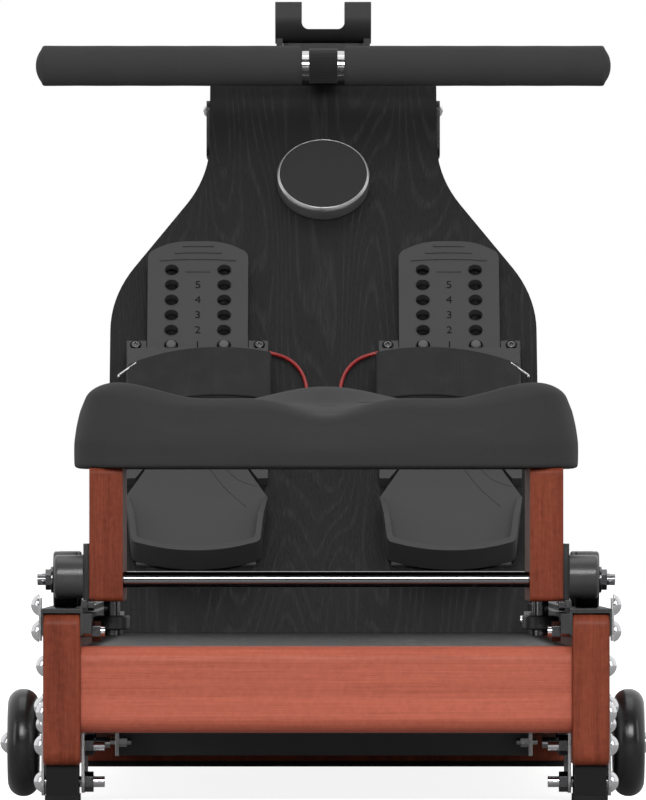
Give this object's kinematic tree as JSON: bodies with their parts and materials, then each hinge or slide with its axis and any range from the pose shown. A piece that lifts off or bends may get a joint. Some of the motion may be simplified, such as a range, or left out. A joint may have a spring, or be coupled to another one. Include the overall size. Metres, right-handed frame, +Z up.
{
  "type": "rowing machine",
  "caption": "Rowing machine with wooden side rails, rolling padded seat, inclined foot board with strapped foot rests, and a strap-and-flywheel drive behind it.",
  "frame": {"origin": "on the floor, at the middle of the machine's length and width", "axes": "+X across to the rower's right, +Y along the rails from the seat towards the foot board, +Z up"},
  "size_m": [0.498, 1.9, 0.6585],
  "materials": {
    "rail_wood": "oiled hardwood, satin, vertical grain",
    "beam_wood": "oiled hardwood, satin, lengthwise grain",
    "pan_wood": "bare plywood",
    "black_oak": "black-stained open-grain oak",
    "black_panel": "black lacquered panel",
    "track_steel": "black powder coat",
    "black_steel": "black powder coat",
    "bright_steel": "bright zinc plate",
    "bolt_steel": "blackened and polished bolts",
    "spring_steel": "blued spring steel",
    "chrome_bar": "polished",
    "flywheel_iron": "machined rim",
    "dial_metal": "black face, bright rim, knurled side",
    "guide_plastic": "black nylon strip",
    "foot_plastic": "black moulded block",
    "foot_base_plastic": "dark grey fine-textured moulding",
    "slider_plastic": "grey fine-textured moulding",
    "cover_plastic": "black fine-textured moulding",
    "drum_plastic": "nylon drum",
    "roller_plastic": "hard nylon",
    "guard_plastic": "satin black moulding",
    "wheel_urethane": "black urethane tread",
    "foot_rubber": "ribbed black rubber",
    "tyre_rubber": "smooth glossy black rubber",
    "belt_rubber": "ribbed belt",
    "seat_foam": "matte skinned foam",
    "grip_foam": "closed-cell foam sleeve",
    "strap_webbing": "black woven webbing",
    "red_cord": "glossy red braided cord"
  },
  "bodies": {
    "frame": {"left_side_rail": "rail_wood", "right_side_rail": "rail_wood", "rear_crossbeam": "beam_wood", "front_crossbeam": "beam_wood", "rail_tracks": "track_steel", "guide_strips": "guide_plastic", "stop_plates": "bright_steel", "stop_studs": "bolt_steel", "dome_bolts": "bolt_steel", "hex_nuts": "bolt_steel", "rear_foot_blocks": "foot_plastic", "foot_plates": "bright_steel", "foot_pads": "foot_rubber", "foot_bars": "rail_wood", "cross_panel": "black_panel", "corner_brackets": "bright_steel", "deck_board": "black_oak", "base_plate": "black_steel", "foot_board": "black_oak", "board_struts": "black_steel", "small_screws": "bolt_steel", "foot_bases": "foot_base_plastic", "foot_straps": "strap_webbing", "left_pull_cord": "red_cord", "right_pull_cord": "red_cord", "left_drive_cover": "cover_plastic", "right_drive_cover": "cover_plastic", "neck_plates": "black_steel", "drive_belt": "belt_rubber", "drive_axles": "bright_steel", "return_spring": "spring_steel", "strap_guide": "cover_plastic", "handle_cradle": "cover_plastic", "pull_strap": "strap_webbing"},
    "seat": {"seat_cushion": "seat_foam", "seat_pan": "pan_wood", "seat_blocks": "rail_wood", "seat_side_plates": "black_steel", "roller_bolts": "bolt_steel", "seat_axles": "chrome_bar", "axle_nuts": "bolt_steel", "wheel_guards": "guard_plastic"},
    "rear_wheelset": {"rear_seat_wheels": "wheel_urethane"},
    "front_wheelset": {"front_seat_wheels": "wheel_urethane"},
    "rear_left_roller": {"rear_left_guide_roller": "roller_plastic"},
    "rear_right_roller": {"rear_right_guide_roller": "roller_plastic"},
    "front_left_roller": {"front_left_guide_roller": "roller_plastic"},
    "front_right_roller": {"front_right_guide_roller": "roller_plastic"},
    "handle": {"handle_tube": "chrome_bar", "handle_grips": "grip_foam", "handle_loop": "strap_webbing"},
    "drum": {"strap_drum": "drum_plastic"},
    "top_roller": {"strap_roller": "roller_plastic"},
    "flywheel": {"flywheel": "flywheel_iron"},
    "magnets": {"magnet_bracket": "black_steel"},
    "dial": {"resistance_dial": "dial_metal"},
    "left_slider": {"left_foot_slider": "slider_plastic"},
    "right_slider": {"right_foot_slider": "slider_plastic"},
    "left_wheel": {"left_transport_wheel": "tyre_rubber"},
    "right_wheel": {"right_transport_wheel": "tyre_rubber"}
  },
  "joints": [
    {"name": "seat_slide", "type": "slide", "parent": "frame", "child": "seat", "axis": [0, 1, 0], "range_m": [0, 0.9]},
    {"name": "rear_wheels_spin", "type": "hinge", "parent": "seat", "child": "rear_wheelset", "pos_m": [0, -0.88, 0.1614], "axis": [1, 0, 0], "range_deg": [-2600, 100]},
    {"name": "front_wheels_spin", "type": "hinge", "parent": "seat", "child": "front_wheelset", "pos_m": [0, -0.73, 0.1614], "axis": [1, 0, 0], "range_deg": [-2600, 100]},
    {"name": "rear_left_roller_spin", "type": "hinge", "parent": "seat", "child": "rear_left_roller", "pos_m": [-0.1578, -0.845, 0.1297], "axis": [0, 0, 1], "range_deg": [-100, 4200]},
    {"name": "rear_right_roller_spin", "type": "hinge", "parent": "seat", "child": "rear_right_roller", "pos_m": [0.1578, -0.845, 0.1297], "axis": [0, 0, 1], "range_deg": [-4200, 100]},
    {"name": "front_left_roller_spin", "type": "hinge", "parent": "seat", "child": "front_left_roller", "pos_m": [-0.1578, -0.765, 0.1297], "axis": [0, 0, 1], "range_deg": [-100, 4200]},
    {"name": "front_right_roller_spin", "type": "hinge", "parent": "seat", "child": "front_right_roller", "pos_m": [0.1578, -0.765, 0.1297], "axis": [0, 0, 1], "range_deg": [-4200, 100]},
    {"name": "handle_pull", "type": "slide", "parent": "frame", "child": "handle", "axis": [0, -1, 0], "range_m": [0, 1], "stiffness_N_per_m": 20, "springref_m": -0.5, "deforming": ["pull_strap"]},
    {"name": "drum_spin", "type": "hinge", "parent": "frame", "child": "drum", "pos_m": [0, 0.792, 0.48], "axis": [1, 0, 0], "range_deg": [-100, 1600]},
    {"name": "top_roller_spin", "type": "hinge", "parent": "frame", "child": "top_roller", "pos_m": [0, 0.815, 0.5879], "axis": [1, 0, 0], "range_deg": [-100, 5400]},
    {"name": "flywheel_spin", "type": "hinge", "parent": "frame", "child": "flywheel", "pos_m": [0, 0.732, 0.3], "axis": [1, 0, 0], "continuous": true},
    {"name": "dial_turn", "type": "hinge", "parent": "frame", "child": "dial", "pos_m": [0, 0.70783, 0.49576], "axis": [0, -0.788, 0.6157], "range_deg": [0, 270]},
    {"name": "magnet_swing", "type": "hinge", "parent": "frame", "child": "magnets", "pos_m": [0, 0.862, 0.38], "axis": [1, 0, 0], "range_deg": [0, 18]},
    {"name": "left_foot_slide", "type": "slide", "parent": "frame", "child": "left_slider", "axis": [0, -0.6157, -0.788], "range_m": [0, 0.0664]},
    {"name": "right_foot_slide", "type": "slide", "parent": "frame", "child": "right_slider", "axis": [0, -0.6157, -0.788], "range_m": [0, 0.0664]},
    {"name": "left_wheel_spin", "type": "hinge", "parent": "frame", "child": "left_wheel", "pos_m": [-0.2235, -0.78, 0.0408], "axis": [1, 0, 0], "continuous": true},
    {"name": "right_wheel_spin", "type": "hinge", "parent": "frame", "child": "right_wheel", "pos_m": [0.2235, -0.78, 0.0408], "axis": [1, 0, 0], "continuous": true}
  ],
  "couplings": [
    {"joint": "rear_wheels_spin", "follows": "seat_slide", "rad_per_m": -48.309},
    {"joint": "front_wheels_spin", "follows": "seat_slide", "rad_per_m": -48.309},
    {"joint": "drum_spin", "follows": "handle_pull", "rad_per_m": 26.316},
    {"joint": "top_roller_spin", "follows": "handle_pull", "rad_per_m": 90.909},
    {"joint": "magnet_swing", "follows": "dial_turn", "ratio": 0.066667},
    {"joint": "rear_left_roller_spin", "follows": "seat_slide", "rad_per_m": 79.365},
    {"joint": "rear_right_roller_spin", "follows": "seat_slide", "rad_per_m": -79.365},
    {"joint": "front_left_roller_spin", "follows": "seat_slide", "rad_per_m": 79.365},
    {"joint": "front_right_roller_spin", "follows": "seat_slide", "rad_per_m": -79.365}
  ]
}
